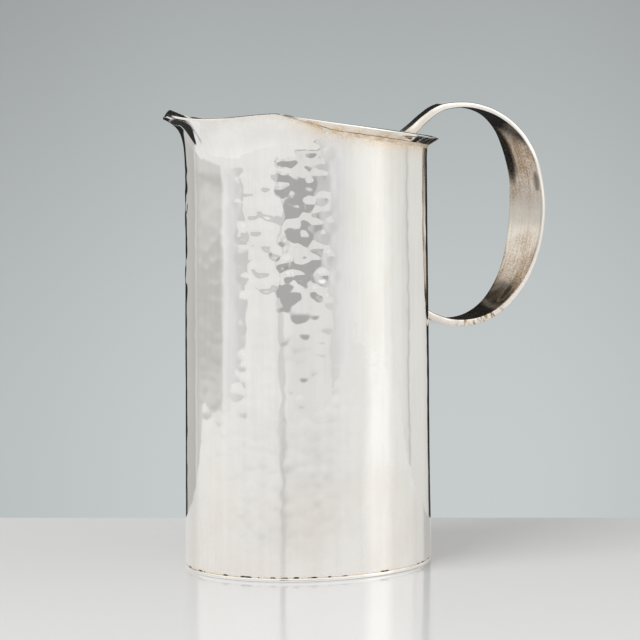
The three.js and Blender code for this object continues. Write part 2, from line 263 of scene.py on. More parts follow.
def make(name, grid, material, node, slot, wrap_rows=False, **masks):
    """Piece from a grid of points in closed rings: a ring of rings, or a bar with two flat ends."""
    rows, columns = grid.shape[:2]
    row = np.arange(rows if wrap_rows else rows - 1)[:, None] * columns
    column = np.arange(columns)
    after, beside = (row + columns) % (rows * columns), (column + 1) % columns
    corners = np.broadcast_arrays(row + column, row + beside, after + beside, after + column)
    faces = np.stack(corners, -1).reshape(-1, 4).tolist()
    if not wrap_rows:
        faces.append(list(range(columns))[::-1])
        faces.append(list(range((rows - 1) * columns, rows * columns)))
    mesh = bpy.data.meshes.new(name)
    mesh.from_pydata((grid.reshape(-1, 3) * MM).tolist(), [], faces)
    for key, values in masks.items():
        layer = mesh.attributes.new(key, "FLOAT", "POINT")
        layer.data.foreach_set("value", np.broadcast_to(values, grid.shape[:2]).astype(np.float32).ravel())
    work = bmesh.new()
    work.from_mesh(mesh)
    bmesh.ops.recalc_face_normals(work, faces=work.faces)
    work.to_mesh(mesh)
    work.free()
    mesh.polygons.foreach_set("use_smooth", np.ones(len(mesh.polygons), bool))
    mesh.set_sharp_from_angle(angle=math.radians(50))
    mesh.update()
    piece = add_object(name, mesh)
    mesh.materials.append(material)
    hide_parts(node)
    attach(piece, "root")


# Materials

class Nodes:
    """Small helper that adds and links shader nodes, and gives their sockets."""

    def __init__(self, tree):
        self.tree = tree
        tree.nodes.clear()

    def add(self, kind, inputs=None, out=0, **settings):
        node = self.tree.nodes.new("ShaderNode" + kind)
        for key, value in settings.items():
            setattr(node, key, value)
        for key, value in (inputs or {}).items():
            if isinstance(value, bpy.types.NodeSocket):
                self.tree.links.new(value, node.inputs[key])
            else:
                node.inputs[key].default_value = value
        return node.outputs[out] if node.outputs else None

    def math(self, operation, a, b=0.0, c=0.0, clamp=False):
        return self.add("Math", {0: a, 1: b, 2: c}, operation=operation, use_clamp=clamp)

    def plus(self, a, b):
        return self.math("ADD", a, b)

    def minus(self, a, b):
        return self.math("SUBTRACT", a, b)

    def times(self, a, b, clamp=False):
        return self.math("MULTIPLY", a, b, clamp=clamp)

    def weigh(self, a, b, share):
        """Sum of two values, in which the second has a fixed share."""
        return self.plus(self.times(a, 1 - share), self.times(b, share))

    def dot(self, vector, axis):
        return self.add("VectorMath", {0: vector, 1: tuple(axis)}, "Value", operation="DOT_PRODUCT")

    def between(self, share, a, b):
        return self.add("Mix", {0: share, 2: a, 3: b}, data_type="FLOAT")

    def mix(self, share, a, b):
        """Mix of two colours, each a socket or red, green and blue."""
        a, b = ((*colour, 1) if isinstance(colour, tuple) else colour for colour in (a, b))
        return self.add("Mix", {0: share, 6: a, 7: b}, 2, data_type="RGBA")

    def spread(self, value, low, high, to_low=0.0, to_high=1.0):
        """A value carried smoothly from one range to another."""
        return self.add("MapRange", {
            "Value": value, "From Min": low, "From Max": high, "To Min": to_low, "To Max": to_high,
        }, interpolation_type="SMOOTHSTEP")

    def noise(self, where, scale, detail=3.0):
        return self.add("TexNoise", {"Vector": where, "Scale": scale, "Detail": detail, "Roughness": 0.55})

    def stretch(self, where, scale):
        return self.add("Mapping", {"Vector": where, "Scale": scale})

    def bump(self, height, strength, distance):
        return self.add("Bump", {"Strength": strength, "Distance": distance, "Height": height})

    def mask(self, name):
        return self.add("Attribute", out="Fac", attribute_name=name)


def new_material(name):
    """A material, its nodes and the place on the piece."""
    material = bpy.data.materials.new(name)
    material.use_nodes = True
    n = Nodes(material.node_tree)
    return material, n, n.add("TexCoord", out="Object")


SILVER = (0.955, 0.94, 0.905)
SILVER_DULL = (0.92, 0.90, 0.857)
RUST_FILM, BEIGE_FILM = (0.90, 0.74, 0.56), (0.75, 0.68, 0.60)
TARNISH = (0.36, 0.25, 0.15)
# Near black, for soot and for painted shade.
SOOT_AND_SHADE_BLACK = (0.012, 0.011, 0.01)
SOLDER_PALE, SOLDER_BROWN = (0.92, 0.83, 0.70), (0.76, 0.60, 0.44)
POLISH_RANGE, SOLDER_POLISH, SOOT_AND_SHADE_ROUGH = (0.3, 0.7), (0.28, 0.55), 0.5


def silver(name, polish, film, film_rough, film_least, streaky):
    """Polished silver, with faint handling marks, a speckled or streaked film, and black soot and painted
    shade where the masks put them.
    """
    material, n, where = new_material(name)
    cloud = n.noise(where, scale=38, detail=4)
    fine = n.noise(where, scale=1300)
    grain = n.noise(n.stretch(where, (1, 1, 0.12)), scale=2600, detail=2)
    wisps = n.noise(n.stretch(where, (1, 1, 0.05)), scale=330)
    streak = n.noise(n.stretch(where, (0.1, 1, 0.1)), scale=620)
    colour = n.mix(n.spread(n.weigh(cloud, wisps, share=0.5), 0.42, 0.60), SILVER, SILVER_DULL)
    mottle = n.weigh(fine, streak, streaky)
    speckle = n.spread(n.weigh(mottle, cloud, share=0.35), 0.41, 0.60)
    tarnished = n.times(n.mask("tarnish"), n.plus(speckle, film_least), clamp=True)
    # The soot mask also holds painted shade and painted dark reflections, which turn the metal black.
    sooted = n.times(n.mask("soot"), n.spread(fine, 0.38, 0.52, 0.9, 1.0), clamp=True)
    thin = n.times(tarnished, 2.0, clamp=True)
    thick = n.math("MULTIPLY_ADD", tarnished, 2.0, -1.0, clamp=True)
    colour = n.mix(thin, colour, film)
    colour = n.mix(thick, colour, TARNISH)
    colour = n.mix(sooted, colour, SOOT_AND_SHADE_BLACK)
    rough = n.spread(cloud, *POLISH_RANGE, *polish)
    rough = n.plus(rough, n.times(tarnished, film_rough))
    rough = n.plus(rough, n.times(sooted, SOOT_AND_SHADE_ROUGH))
    shader = n.add("BsdfPrincipled", {
        "Base Color": colour, "Metallic": n.minus(1.0, sooted), "Roughness": rough,
        "Normal": n.bump(grain, strength=0.05, distance=0.00004), "Specular IOR Level": 0.1,
    })
    n.add("OutputMaterial", {"Surface": shader})
    return material


def solder(name):
    """Dull grey-brown solder, pitted and sooty in its hollows."""
    material, n, where = new_material(name)
    lumps = n.noise(where, scale=420, detail=4)
    fine = n.noise(where, scale=2200)
    colour = n.mix(n.spread(lumps, 0.35, 0.65), SOLDER_PALE, SOLDER_BROWN)
    sooted = n.times(n.mask("soot"), n.spread(fine, 0.3, 0.5, 0.5, 1.0), clamp=True)
    shader = n.add("BsdfPrincipled", {
        "Base Color": n.mix(sooted, colour, SOOT_AND_SHADE_BLACK), "Metallic": 1.0,
        "Roughness": n.spread(fine, *POLISH_RANGE, *SOLDER_POLISH),
        "Normal": n.bump(fine, strength=0.35, distance=0.0001),
    })
    n.add("OutputMaterial", {"Surface": shader})
    return material


sheet_look = silver(
    "hammered_silver_sheet", (0.03, 0.07), RUST_FILM, film_rough=0.2, film_least=0.15, streaky=0.0,
)
forged_look = silver("forged_silver", (0.06, 0.12), BEIGE_FILM, film_rough=0.25, film_least=1.5, streaky=0.4)
solder_look = solder("silver_solder")

# Body wall: outer face, rounded edge, inner face.
AROUND = 480
TIP_CROWDING = 0.3
LOWER_ROWS, FLARE_ROWS, FLARE_CROWDING = 200, 48, 1.35
INNER_LOWER_ROWS, INNER_FLARE_ROWS = 74, 24
LIP_STEPS = 9
ANGLE_SAMPLES = 4001

turn = 2 * math.pi * np.arange(AROUND) / AROUND
around = turn + TIP_CROWDING * np.sin(turn)
fine_angles = np.linspace(0, 2 * math.pi, ANGLE_SAMPLES)
arc = lengths_along(oval_point(fine_angles, 100.0))
GIRTH = float(arc[-1])


def arc_at(angle):
    return np.interp(np.mod(angle, 2 * math.pi), fine_angles, arc)


# The marks are deep on the shoulder below the spout, half planished away under it, and faint elsewhere.
# Angles are in degrees from the middle of the handle.
MARK_PITCH, MARK_DEPTH, MARK_RIDGE, MARK_SPREAD = 6.4, 0.38, 0.45, (0.45, 0.9)
TIP_SKEW, SIDE_SKEW, SKEW_TURNS = -0.35, 0.0, (133, 139)
FINE_PITCH, FINE_DEPTH, FINE_RIDGE = 2.7, 0.06, 0.35
BROAD_PITCH, BROAD_DEPTH, BROAD_RIDGE = 19.0, 0.42, 2.0
SWELL_DEPTH, BASE_DEPTH = 0.25, 0.2
FAINT, CALM, HALF = 0.14, 0.07, 0.2
CALM_START, CALM_END = (77, 87), (103, 113)
ZONE_START, ZONE_END = (107, 117), (156, 166)
ZONE_FOOT, ZONE_DRIFT = (117.0, 135.0), 14.0
# Where the smooth flare of the spout ends: angles, and drops below its edge.
SMOOTH_ANGLES = [119, 123, 128, 131, 136, 142, 150, 157]
SMOOTH_DROPS = [6.5, 9.5, 13.2, 15.5, 18.2, 22.5, 25.0, 24.0]
# How the marks die out: drops past the end of the flare, height over the base, and drops below the rim strip.
FLARE_RAMP, BASE_RAMP, STRIP_RAMP = (-3, 1), 30, (0.5, 5)

wall_sheet = (GIRTH, RIM_PEAK + 4)
tip_marks, side_marks = (
    hammered(*wall_sheet, MARK_PITCH, MARK_DEPTH, SEED, skew=skew, ridge=MARK_RIDGE, spread=MARK_SPREAD)
    for skew in (TIP_SKEW, SIDE_SKEW)
)
fine_marks = hammered(*wall_sheet, FINE_PITCH, FINE_DEPTH, SEED + 14, skew=TIP_SKEW, ridge=FINE_RIDGE)
broad_marks = hammered(*wall_sheet, BROAD_PITCH, BROAD_DEPTH, SEED + 11, ridge=BROAD_RIDGE)
wall_swell = swells(SEED + 1, 7, GIRTH, 120, 45)
zone_edge = swells(SEED + 15, 9, GIRTH, 60, 14)
mean_s, mean_z = np.meshgrid(np.linspace(0, GIRTH, 90), np.linspace(10, RIM_PEAK - 10, 60))
MARK_MEAN = float(np.mean(side_marks(mean_s, mean_z) + broad_marks(mean_s, mean_z)))

# Pits along the seam of the base: place round the oval in degrees, width and height.
PIT_COUNT, PIT_WIDTHS, PIT_HEIGHTS = 60, (0.8, 3.6), (0.1, 0.4)
rng = np.random.default_rng(SEED + 2)
PITS = [(rng.uniform(0, 360), rng.uniform(*PIT_WIDTHS), rng.uniform(*PIT_HEIGHTS)) for _ in range(PIT_COUNT)]


def pit_height(angle):
    total = np.zeros_like(angle)
    for place, width, rise in PITS:
        away = arc_at(angle) - arc_at(math.radians(place))
        away = (away + GIRTH / 2) % GIRTH - GIRTH / 2
        total = np.maximum(total, rise * np.clip(1 - (2 * away / width) ** 2, 0, 1) ** 0.5)
    return total


def wall_depth(angle, height, drop):
    """How far the worked surface lies inside the plain one."""
    s = arc_at(angle)
    side = np.degrees(side_angle(angle))
    front = within(side, ZONE_START, ZONE_END)
    calm = within(side, CALM_START, CALM_END)
    drift = ZONE_DRIFT * (zone_edge(s, height) - 0.5)
    upper = ease(height + drift, *ZONE_FOOT)
    strength = lerp(lerp(FAINT, CALM, calm), lerp(HALF, 1, upper), front)
    below = drop - np.interp(side, SMOOTH_ANGLES, SMOOTH_DROPS)
    strength = strength * lerp(FAINT, 1, ease(below, *FLARE_RAMP))
    tipward = ease(side, *SKEW_TURNS)
    marks = lerp(side_marks(s, height), tip_marks(s, height), tipward)
    marks = marks + broad_marks(s, height) + fine_marks(s, height) * upper * front
    depth = BASE_DEPTH + (marks - MARK_MEAN) * strength + (wall_swell(s, height) - 0.5) * SWELL_DEPTH
    depth = np.maximum(depth, 0)
    depth = depth * ease(height, WALL_BOTTOM, WALL_BOTTOM + BASE_RAMP)
    return depth * lerp(1, ease(drop, *STRIP_RAMP), strip_share(angle))


# Drop below the edge at which its rounding starts.
SHORT = 0.1
lip_drop = SHORT * SHEET / 2 / np.linalg.norm(wall_point(around, 0.0) - wall_point(around, SHORT), axis=-1)


def wall_face(lower_rows, flare_rows):
    """Grid of the outer face from the bottom up: points, normals, depths of the marks, and drops."""
    top = wall_top(around)
    share = np.linspace(0, 1, lower_rows, endpoint=False)[:, None]
    lower = lerp((top - WALL_BOTTOM)[None, :], FLARE_HEIGHT, share)
    flare = lerp(lip_drop[None, :], FLARE_HEIGHT, np.linspace(1, 0, flare_rows)[:, None] ** FLARE_CROWDING)
    drop = np.concatenate([lower, flare])
    angle = np.broadcast_to(around, drop.shape)
    face = wall_point(angle, drop)
    normal = wall_normal(angle, drop)
    depth = wall_depth(angle, face[..., 2], drop)
    return face, normal, depth, drop


pits = pit_height(around)
face, normal, depth, drop = wall_face(LOWER_ROWS, FLARE_ROWS)
outer = face - normal * depth[..., None]
outer[0, :, 2] += pits
outer[1, :, 2] = np.maximum(outer[1, :, 2], outer[0, :, 2] + 0.1)
face, normal, depth, inner_drop = wall_face(INNER_LOWER_ROWS, INNER_FLARE_ROWS)
inner = (face - normal * (depth + SHEET)[..., None])[::-1]
lip_middle, lip_half = (outer[-1] + inner[0]) / 2, (inner[0] - outer[-1]) / 2
lip_up = unit(wall_point(around, 0.0) - wall_point(around, lip_drop)) * SHEET / 2
lip = np.stack([
    lip_middle - lip_half * math.cos(lean) + lip_up * math.sin(lean)
    for lean in np.linspace(0, math.pi, LIP_STEPS + 2)[1:-1]
])
wall_grid = np.concatenate([outer, lip, inner])
wall_drop = np.concatenate([drop, np.zeros((len(lip), AROUND)), inner_drop[::-1]])
wall_angle = np.broadcast_to(around, wall_drop.shape)
wall_side = np.degrees(side_angle(wall_angle))
outside = np.concatenate([np.ones((len(outer), AROUND)), np.zeros((len(lip) + len(inner), AROUND))])

# Film: below the rim strip, over the base seam and inside; and the lower wall is darker and warmer towards
# the bottom.
RIM_FILM_REACH, RIM_FILM_CURVE, SEAM_FILM_REACH, LOW_DARKENING_HEIGHTS = 2.6, 0.35, 1.2, (20, 80)
RIM_FILM, SEAM_FILM, LOW_DARKENING, INSIDE_FILM = 0.85, 0.12, 0.07, 0.25
near_rim = np.exp(-wall_drop / RIM_FILM_REACH) * strip_share(wall_angle) ** RIM_FILM_CURVE * outside
near_seam = np.exp(-np.maximum(wall_grid[..., 2] - WALL_BOTTOM, 0) / SEAM_FILM_REACH)
low_darkening = fade(wall_grid[..., 2], *LOW_DARKENING_HEIGHTS) * outside
wall_film = RIM_FILM * near_rim + SEAM_FILM * near_seam + LOW_DARKENING * low_darkening + INSIDE_FILM * (1 - outside)

# Painted shade and painted dark reflections, black like soot: in the fold under the tip of the spout, by
# drops, angles past the tip and half widths in degrees, along the back of the spout's edge, down its far
# side, and on its tip.
FOLD_DROPS = [1.0, 2.6, 3.6, 5.0, 7.0, 9.0, 11.0]
FOLD_MIDDLES = [-2.1, -2.6, 0.0, -1.2, -3.1, -4.0, -4.0]
FOLD_HALVES = [8.4, 7.8, 4.3, 4.0, 3.1, 2.1, 1.2]
FOLD_TOP, FOLD_FOOT = (1.0, 1.6), (11, 12.5)
LIP_BACK_ROWS, LIP_DROP, FAR_DROPS = 5, 0.5, (2.0, 4.5)
LIP_START, LIP_END = (112, 122), (154, 160)
FAR_START, FAR_END = (118, 124), (152, 160)
TIP_START = (175.5, 178)
FOLD_PAINTED_SHADE, LIP_PAINTED_SHADE, FAR_PAINTED_SHADE, RIM_SOOT, LOW_BLACKENING = 1.3, 0.9, 1.1, 0.03, 0.05
fold_middle = np.interp(wall_drop, FOLD_DROPS, FOLD_MIDDLES)
fold_half = np.interp(wall_drop, FOLD_DROPS, FOLD_HALVES)
past_tip = (np.degrees(wall_angle) % 360) - 180
fold = fade(np.abs(past_tip - fold_middle) / fold_half, 0.75, 1.1)
fold = fold * within(wall_drop, FOLD_TOP, FOLD_FOOT) * outside
behind_lip = np.zeros((len(wall_grid), 1))
behind_lip[len(outer) + LIP_STEPS - LIP_BACK_ROWS:] = 1
# Painted dark reflections inside the spout: behind the lip, down the far side and at the tip.
lip_painted_shade = behind_lip * (wall_drop < LIP_DROP) * within(wall_side, LIP_START, LIP_END)
far_painted_shade = behind_lip * fade(wall_drop, *FAR_DROPS) * (np.sin(wall_angle) > 0)
far_painted_shade = far_painted_shade * within(wall_side, FAR_START, FAR_END)
tip_painted_shade = (1 - outside) * (wall_drop < LIP_DROP) * ease(wall_side, *TIP_START)
# Painted shade, with faint soot under the rim strip and the lower wall's darkening.
wall_soot = np.maximum.reduce([
    FOLD_PAINTED_SHADE * fold, LIP_PAINTED_SHADE * lip_painted_shade, FAR_PAINTED_SHADE * far_painted_shade, tip_painted_shade,
    RIM_SOOT * near_rim, LOW_BLACKENING * low_darkening,
])
make(
    "hammered_wall", wall_grid, sheet_look, "body_wall", "silver_sheet", wrap_rows=True,
    tarnish=np.clip(wall_film, 0, 1), soot=wall_soot,
)

# Base plate: rings from the middle of its underside, round its edge, to the middle of its upper face.
PLATE_ROUND, PLATE_MIDDLE, PLATE_BRIM, PLATE_FLAT = 0.12, 0.03, 0.998, 0.975
UNDER_RINGS, EDGE_RINGS, TOP_RINGS = 4, 5, 26
PLATE_SHEET, PLATE_PITCH, PLATE_DEPTH, PLATE_FILM = 140, 9.0, 0.12, 0.15
PIT_DOWN = 0.35
plate_marks = hammered(PLATE_SHEET, PLATE_SHEET, PLATE_PITCH, PLATE_DEPTH, SEED + 3, wrap=False)
rings = [oval_point(around, 0.0, scale) for scale in np.linspace(PLATE_MIDDLE, 0.99, UNDER_RINGS)]
for lean in np.linspace(0, math.pi / 2, EDGE_RINGS):
    ring = oval_point(around, 0.0)
    ring -= oval_normal(around, 0.0) * PLATE_ROUND * (1 - math.sin(lean))
    ring[:, 2] = PLATE_ROUND * (1 - math.cos(lean))
    rings.append(ring)
for scale, lower in ((1.0, PLATE_ROUND), (PLATE_BRIM, 0.0)):
    ring = oval_point(around, 0.0, scale)
    ring[:, 2] = PLATE_THICK - lower - PIT_DOWN * pits
    rings.append(ring)
for scale in np.linspace(PLATE_FLAT, PLATE_MIDDLE, TOP_RINGS):
    ring = oval_point(around, 0.0, scale)
    sunk = plate_marks(ring[:, 0] + PLATE_SHEET / 2, ring[:, 1] + PLATE_SHEET / 2)
    ring[:, 2] = PLATE_THICK - sunk * ease(PLATE_FLAT - scale, 0.02, 0.08)
    rings.append(ring)
plate_grid = np.stack(rings)
plate_seam = ease(plate_grid[..., 2], 0.9, PLATE_THICK)
make(
    "base_disc", plate_grid, sheet_look, "base_plate", "silver_sheet",
    tarnish=PLATE_FILM * plate_seam, soot=0,
)

# Base solder: a thin line outside, eaten back where the seam is pitted, and a fillet inside.
SEAM_INSET, SEAM_CLEAR, EATEN_BACK, EATEN_AT, PIT_SOOT = 0.03, 0.02, 0.5, 0.2, 6
FILLET_LEAN, FILLET_HOLLOW = 0.05, 0.45


def seam_ring(inset, height):
    ring = oval_point(around, WALL_BOTTOM) - oval_normal(around, WALL_BOTTOM) * np.asarray(inset)[..., None]
    ring[:, 2] = height
    return ring


eaten = SEAM_INSET + EATEN_BACK * np.clip(pits / EATEN_AT, 0, 1)
seam_grid = np.stack([
    seam_ring(eaten, PLATE_THICK + SEAM_CLEAR - PIT_DOWN * pits),
    seam_ring(eaten, WALL_BOTTOM - SEAM_CLEAR + pits),
    seam_ring(SHEET + JOINT_GAP, WALL_BOTTOM + pits),
    seam_ring(SHEET + JOINT_GAP + FILLET_LEAN, WALL_BOTTOM + BASE_FILLET),
    seam_ring(SHEET + FILLET_HOLLOW * BASE_FILLET, PLATE_THICK + FILLET_HOLLOW * BASE_FILLET),
    seam_ring(SHEET + BASE_FILLET, PLATE_THICK + SEAM_CLEAR),
])
make(
    "base_seam", seam_grid, solder_look, "base_solder", "solder", wrap_rows=True,
    soot=np.clip(pits * PIT_SOOT, 0, 1),
)

# Rim strip and the solder in its crease.
STRIP_STEPS = 420
STRIP_SHEET, STRIP_ACROSS, STRIP_PITCH, STRIP_DEPTH = 12, 10, 4.5, 0.12
EDGE_ROUND, EDGE_TRIM, EDGE_NEAR, EDGE_FAR = 0.16, 0.4 * 0.16, 0.018, 0.06
strip_back_x, strip_back_z = -STRIP_THICK * SLOPE_SIN, STRIP_THICK * SLOPE_COS
root_rise = strip_back_z + (-SHEET - strip_back_x) * math.tan(STRIP_SLOPE)
fade_angles = np.linspace(0, CORNER_ANGLE, ANGLE_SAMPLES)


def strip_run(least):
    """Angles along the strip, where it has at least a share of its section."""
    return np.linspace(-1, 1, STRIP_STEPS) * fade_angles[strip_share(fade_angles) >= least].max()


def strip_point(angle, out, up):
    share = strip_share(angle)[..., None]
    seat = wall_edge(angle)
    seat = seat + oval_normal(angle, seat[..., 2]) * out * share
    return seat + points(0, 0, up * share[..., 0] + JOINT_GAP)


strip_angles = strip_run(STRIP_END)
strip_s = arc_at(strip_angles)
strip_marks = hammered(GIRTH, STRIP_SHEET, STRIP_PITCH, STRIP_DEPTH, SEED + 4)
strip_root = wall_point(strip_angles, 0.0) - wall_normal(strip_angles, 0.0) * SHEET + points(0, 0, JOINT_GAP)
strip_lip = strip_root + points(0, 0, root_rise * strip_share(strip_angles))
strip_high = strip_point(strip_angles, STRIP_OUT + strip_back_x, STRIP_RISE + strip_back_z)
strip_low = strip_point(strip_angles, STRIP_OUT, STRIP_RISE)
strip_seat = strip_point(strip_angles, 0.0, 0.0)
out_way = oval_normal(strip_angles, RIM_BACK)
upper_way = unit(points(0, 0, SLOPE_COS) - out_way * SLOPE_SIN)


def pressed(a, b, share, way):
    """Point between two edges of the strip, pressed in by the hammer marks."""
    sunk = strip_marks(strip_s, STRIP_ACROSS * share) * strip_share(strip_angles)
    return lerp(a, b, share) - unit(way) * sunk[..., None]


strip_grid = np.stack([
    strip_root,
    strip_lip,
    *(pressed(strip_lip, strip_high, share, upper_way) for share in (0.25, 0.5, 0.75)),
    lerp(strip_high, strip_lip, EDGE_FAR),
    lerp(lerp(strip_high, strip_low, EDGE_TRIM), strip_lip, EDGE_NEAR),
    lerp(strip_high, strip_low, EDGE_ROUND),
    lerp(strip_low, strip_high, EDGE_ROUND),
    lerp(lerp(strip_low, strip_high, EDGE_TRIM), strip_seat, EDGE_NEAR),
    lerp(strip_low, strip_seat, EDGE_FAR),
    *(pressed(strip_low, strip_seat, share, -upper_way) for share in (0.3, 0.6)),
    strip_seat,
], 1)
# How far each of those lines lies on the underside, where dirt gathers and, towards the back, a dark
# reflection is painted.
UNDER = np.array([0, 0, 0, 0, 0, 0, 0, 0, 0, 0.1, 0.4, 0.8, 1.0, 1.0])
LEAST_DIRT, LINES_APART, BACK_ANGLES = 0.35, 1.5, np.radians([68, 80])
STRIP_FILM, BACK_PAINTED_REFLECTION, BACK_CURVE, END_DARKENING = 0.7, 1.25, 0.5, 0.45
dirt = ease(swells(SEED + 5, 9, GIRTH, 60, 9)(strip_s, 0), 0.42, 0.62)
dirt = LEAST_DIRT + (1 - LEAST_DIRT) * dirt
# Painted dark reflection in patches on the underside towards the handle.
back_painted_reflection = swells(SEED + 16, 9, GIRTH, 60, 9)(strip_s[:, None], LINES_APART * np.arange(len(UNDER)))
back_painted_reflection = ease(back_painted_reflection, 0.46, 0.54) * fade(np.abs(strip_angles), *BACK_ANGLES)[:, None]
# The strip is darker towards both ends.
end_darkening = fade(strip_share(strip_angles), 0.1, 0.3)[:, None]
make(
    "rim_collar", strip_grid, sheet_look, "rim_strip", "silver_sheet",
    tarnish=STRIP_FILM * dirt[:, None] * UNDER,
    soot=np.maximum(BACK_PAINTED_REFLECTION * back_painted_reflection * UNDER ** BACK_CURVE, END_DARKENING * end_darkening),
)

CREASE_SIZE, CREASE_LUMPS, CREASE_LIFT, CREASE_SOOT = 1.3 * RIM_FILLET, 0.28, 0.1, 0.06
crease_angles = strip_run(2 * STRIP_END)
crease_seat = wall_edge(crease_angles)
crease_way = oval_normal(crease_angles, crease_seat[..., 2])
crease_s = arc_at(crease_angles)
lumps = 1 - CREASE_LUMPS + CREASE_LUMPS * swells(SEED + 6, 11, GIRTH, 40, 5)(crease_s, 0)


def crease_point(out, up):
    return crease_seat + crease_way * np.asarray(out)[..., None] + points(0, 0, up)


full = CREASE_SIZE * strip_share(crease_angles) * lumps
flat_out, flat_up = full * SLOPE_COS, full * SLOPE_SIN
crease_grid = np.stack([
    crease_point(0, 0),
    crease_point(flat_out, flat_up + CREASE_LIFT),
    crease_point(0.42 * flat_out, 0.42 * flat_up - 0.30 * full),
    crease_point(0.12 * flat_out, -0.62 * full),
    crease_point(0, -full),
], 1)
crease_soot = ease(swells(SEED + 7, 9, GIRTH, 50, 8)(crease_s, 0), 0.45, 0.65)
make("rim_seam", crease_grid, solder_look, "rim_solder", "solder", soot=CREASE_SOOT * crease_soot[:, None])

# Handle strap: the route of its inner face, then sections along it.
HALVINGS, SPAN_STEPS, WAY_STEP, SLIDE_ROUNDS = 40, 60, 1e-4, 8


def wall_back(side, height):
    """How far back the wall's outer face lies at a distance to the side."""
    a, b, x = oval(height)
    return x + a * np.sqrt(1 - (side / b) ** 2)


def loop_offset(angle):
    run, rise = math.cos(angle), math.sin(angle)
    fullness = abs(run) ** LOOP_SQUARENESS + abs(rise) ** LOOP_SQUARENESS
    half = fullness ** (-1 / LOOP_SQUARENESS) / 2
    along, across = LOOP_LENGTH * half * run, LOOP_HEIGHT * half * rise
    return np.array([
        along * math.cos(LOOP_TILT) - across * math.sin(LOOP_TILT),
        0.0,
        along * math.sin(LOOP_TILT) + across * math.cos(LOOP_TILT),
    ])


seat_back = wall_edge(np.array(0.0))
loop_far = np.max([loop_offset(2 * math.pi * step / LOOP_SAMPLES) for step in range(LOOP_SAMPLES)], axis=0)
loop_middle = np.array([seat_back[0] + LOOP_REACH, 0.0, RIM_BACK + LOOP_RISE]) - loop_far


def loop_point(angle):
    return loop_offset(angle) + loop_middle


def landing_angle():
    """Angle round the loop at which its lower end meets the wall."""
    clear, past = -math.pi / 2, -math.pi
    for _ in range(HALVINGS):
        half = (clear + past) / 2
        spot = loop_point(half)
        if spot[0] > wall_back(0, spot[2]) + JOINT_GAP:
            clear = half
        else:
            past = half
    return clear


def smooth_route(knots, per_span):
    """Centripetal Catmull-Rom curve through the knots, as a dense row of points."""
    knots = np.array([2 * knots[0] - knots[1], *knots, 2 * knots[-1] - knots[-2]])
    steps = np.linalg.norm(np.diff(knots, axis=0), axis=1) ** 0.5
    route = []
    for at in range(1, len(knots) - 2):
        p0, p1, p2, p3 = knots[at - 1:at + 3]
        d0, d1, d2 = steps[at - 1:at + 2]
        t1 = ((p1 - p0) / d0 - (p2 - p0) / (d0 + d1) + (p2 - p1) / d1) * d1
        t2 = ((p2 - p1) / d1 - (p3 - p1) / (d1 + d2) + (p3 - p2) / d2) * d1
        u = np.linspace(0, 1, per_span, endpoint=False)[:, None]
        c2, c3 = 3 * (p2 - p1) - 2 * t1 - t2, 2 * (p1 - p2) + t1 + t2
        route.append(p1 + t1 * u + c2 * u ** 2 + c3 * u ** 3)
    route.append(knots[-2][None])
    return np.concatenate(route)


lap_lift = JOINT_GAP / SLOPE_COS
lap_start = strip_point(np.array(0.0), -SHEET, root_rise + lap_lift)
lap_end = strip_point(np.array(0.0), STRIP_OUT + strip_back_x, STRIP_RISE + strip_back_z + lap_lift)
loop_end = landing_angle()
knots = [lap_start, lap_end]
knots += [loop_point(lerp(LOOP_START, loop_end, step / LOOP_POINTS)) for step in range(LOOP_POINTS + 1)]
route = smooth_route(knots, SPAN_STEPS)
route_lengths = lengths_along(route)
STRAP_LENGTH = float(route_lengths[-1])


def route_at(place):
    return np.array([np.interp(place * STRAP_LENGTH, route_lengths, route[:, axis]) for axis in range(3)])


def route_way(place):
    low, high = max(place - WAY_STEP, 0), min(place + WAY_STEP, 1)
    return unit(route_at(high) - route_at(low))


def along_strap(values, place):
    span = max(np.searchsorted(STRAP_PLACES, place), 1)
    share = ease(place, STRAP_PLACES[span - 1], STRAP_PLACES[span])
    return lerp(values[span - 1], values[span], share)


# The two faces of the strap take their marks from one sheet, side by side.
STRAP_STEPS, FACE_STEPS, CORNER_STEPS = 330, 18, 4
STRAP_SHEET, FACES_APART, STRAP_PITCH, STRAP_DEPTH = 60, 20, 5.2, 0.13
SIDE_SWELL, QUIET_END = 0.3, 0.05
strap_marks = hammered(
    STRAP_LENGTH * 2 + FACES_APART, STRAP_SHEET, STRAP_PITCH, STRAP_DEPTH, SEED + 8, wrap=False,
)
strap_swell = swells(SEED + 9, 6, STRAP_LENGTH, 60, 18)

# Section of the strap: corner, outer face and corner, then the same for the inner face.
quarter = math.pi / 2 * np.arange(CORNER_STEPS + 1) / CORNER_STEPS
half_turn = np.concatenate([quarter[:-1], np.full(FACE_STEPS + 1, math.pi / 2), math.pi / 2 + quarter[1:]])
half_place = np.pad(np.linspace(1, -1, FACE_STEPS + 1), CORNER_STEPS, mode="edge")
ring_turn = np.concatenate([half_turn, half_turn + math.pi])
ring_side, ring_out = np.cos(ring_turn), np.sin(ring_turn)
ring_place = np.concatenate([half_place, -half_place])
ring_outer = np.arange(len(ring_turn)) < len(half_turn)


